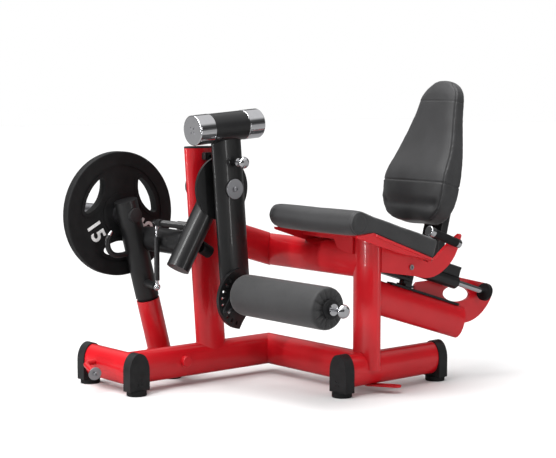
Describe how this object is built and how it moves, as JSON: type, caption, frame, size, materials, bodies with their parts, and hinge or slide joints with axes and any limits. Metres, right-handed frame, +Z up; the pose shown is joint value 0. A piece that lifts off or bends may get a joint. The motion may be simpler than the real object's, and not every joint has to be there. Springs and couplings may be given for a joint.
{
  "type": "leg_extension_machine",
  "caption": "Plate-loaded leg extension machine in red tube with black levers, grey seat and sliding back pad, ankle roller, indexed start angle, swinging weight horn and gas spring.",
  "frame": {"origin": "Middle of the footprint on the floor, straight below the machine.", "axes": "+X to the seated user's left, +Y to the rear behind the back pad, +Z up."},
  "size_m": [1.246, 1.4038, 1.0622],
  "materials": {
    "red_paint": "gloss",
    "black_paint": "satin",
    "black_rubber": "matte",
    "black_plastic": "matte",
    "grey_vinyl": "fine grain",
    "grey_foam": "matte",
    "chrome": "polished",
    "steel": "satin"
  },
  "bodies": {
    "frame": {"front_cross_tube": "red_paint", "side_rail": "red_paint", "rear_cross_tube": "red_paint", "seat_base_tube": "red_paint", "outrigger_tube": "red_paint", "foot_caps": "black_plastic", "foot_pads": "black_rubber", "main_post": "red_paint", "post_cap": "black_plastic", "main_bearings": "steel", "bearing_cap": "black_plastic", "stop_bracket": "black_paint", "band_peg": "red_paint", "band_peg_bolt": "steel", "floor_anchor": "red_paint", "upper_side_beam": "red_paint", "upper_cross_beam": "red_paint", "seat_column": "red_paint", "rear_beam": "red_paint", "wear_strip": "black_plastic", "rear_bracket": "red_paint", "guide_rod": "chrome", "rod_bumper": "black_rubber", "front_stop": "black_paint", "seat_base_plate": "red_paint", "seat_side_plates": "red_paint", "seat_bolts": "steel", "seat_pad": "grey_vinyl", "grip_bars": "chrome", "grip_sleeves": "black_rubber", "rest_stub": "red_paint", "rest_plug": "black_rubber"},
    "cam": {"main_shaft": "steel", "cam_disc": "black_paint", "load_arm": "black_paint", "load_bumper": "black_rubber", "spring_bar": "black_paint", "pivot_bolt": "steel"},
    "carrier": {"weight_tube": "black_paint", "swivel_bushes": "black_plastic", "weight_horn": "steel", "lift_handle": "black_paint", "handle_tip": "chrome", "ball_stud": "black_paint"},
    "gas_rod": {"gas_spring_rod": "chrome"},
    "gas_cylinder": {"gas_spring_cylinder": "black_paint"},
    "plate": {"weight_plate": "black_rubber"},
    "arm": {"lever_arm": "black_paint", "tbar_sleeve": "black_paint", "tbar_weights": "chrome", "adjuster_plate": "black_paint"},
    "pin": {"pull_pin": "chrome"},
    "crank": {"roller_crank": "black_paint"},
    "release": {"release_rod": "chrome"},
    "roller": {"roller_sleeve": "black_plastic", "roller_foam": "grey_foam"},
    "backrest": {"back_carriage": "black_paint", "slider_bushes": "black_plastic", "back_post": "black_paint", "back_pad": "grey_vinyl"}
  },
  "joints": [
    {"name": "lever_swing", "type": "hinge", "parent": "frame", "child": "cam", "pos_m": [-0.1025, -0.267, 0.684], "axis": [-1, 0, 0], "range_deg": [0, 95]},
    {"name": "start_angle", "type": "hinge", "parent": "cam", "child": "arm", "pos_m": [0.0425, -0.267, 0.684], "axis": [-1, 0, 0], "range_deg": [-20, 20]},
    {"name": "pull_pin_slide", "type": "slide", "parent": "arm", "child": "pin", "axis": [1, 0, 0], "range_m": [-0.008, 0.008]},
    {"name": "roller_adjust", "type": "hinge", "parent": "arm", "child": "crank", "pos_m": [0.0775, -0.23838, 0.30949], "axis": [1, 0, 0], "range_deg": [-75, 45]},
    {"name": "roller_release", "type": "slide", "parent": "crank", "child": "release", "axis": [1, 0, 0], "range_m": [-0.008, 0.002]},
    {"name": "roller_spin", "type": "hinge", "parent": "crank", "child": "roller", "pos_m": [0.3275, -0.25738, 0.32799], "axis": [1, 0, 0], "continuous": true},
    {"name": "carrier_swivel", "type": "hinge", "parent": "cam", "child": "carrier", "pos_m": [-0.1765, -0.374, 0.496], "axis": [-1, 0, 0], "range_deg": [0, 15]},
    {"name": "gas_spring_swing", "type": "hinge", "parent": "cam", "child": "gas_rod", "pos_m": [-0.1525, -0.43, 0.564], "axis": [-1, 0, 0], "range_deg": [-1, 12]},
    {"name": "gas_spring_stroke", "type": "slide", "parent": "gas_rod", "child": "gas_cylinder", "axis": [0, 0, 1], "range_m": [-0.002, 0.03]},
    {"name": "plate_on_horn", "type": "slide", "parent": "carrier", "child": "plate", "axis": [-1, 0, 0], "range_m": [0, 0.25]},
    {"name": "backrest_slide", "type": "slide", "parent": "frame", "child": "backrest", "axis": [0, 0.9537, -0.3007], "range_m": [0, 0.115]}
  ],
  "couplings": [
    {"joint": "gas_spring_swing", "follows": "carrier_swivel", "ratio": 0.7},
    {"joint": "gas_spring_stroke", "follows": "carrier_swivel", "m_per_rad": 0.064}
  ]
}
